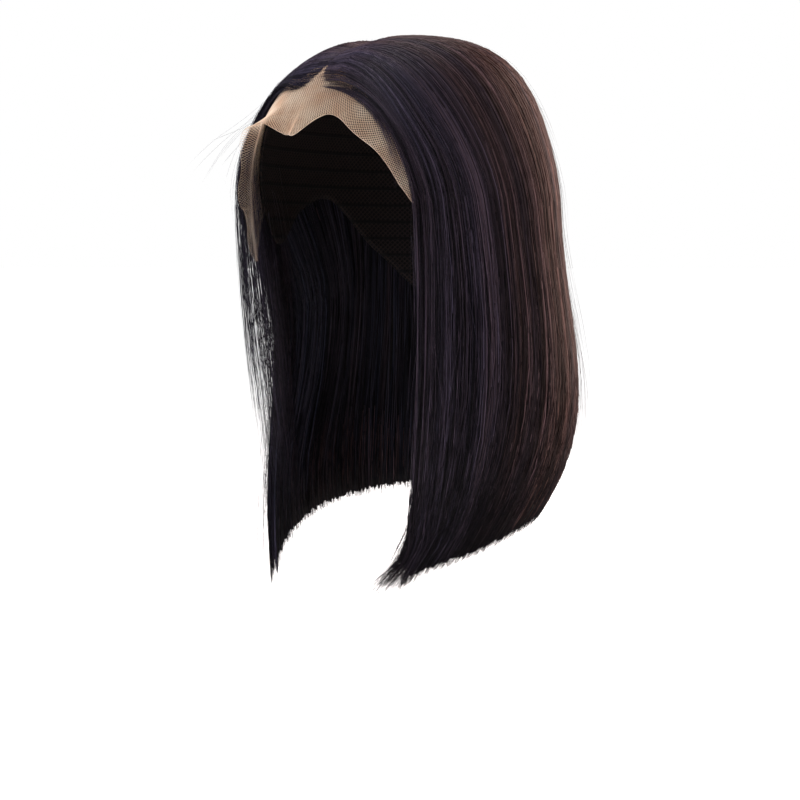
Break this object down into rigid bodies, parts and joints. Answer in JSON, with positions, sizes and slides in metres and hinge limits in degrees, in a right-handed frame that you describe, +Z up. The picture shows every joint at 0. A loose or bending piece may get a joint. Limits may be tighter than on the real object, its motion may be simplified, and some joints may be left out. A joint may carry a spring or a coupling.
{
  "type": "lace front bob wig",
  "caption": "Straight bob wig of dark real hair with a middle parting, in falls of locks on a net cap with a lace front, worn over the head.",
  "frame": {"origin": "the point inside the crown where the top of the head meets the cap", "axes": "+Z up along the wearer's head, -Y the way the face looks, +X the wearer's left"},
  "size_m": [0.1987, 0.2195, 0.3418],
  "materials": {
    "hair": "straight dark brown-black real hair, satin sheen along the strands",
    "lace": "fine pale tan net lace, matt and see-through between its threads",
    "cap_net": "dark stretch net, matt"
  },
  "bodies": {
    "root": {"cap": "cap_net", "lace_front": "lace", "hair_left": "hair", "hair_right": "hair", "hair_back": "hair"}
  },
  "joints": []
}
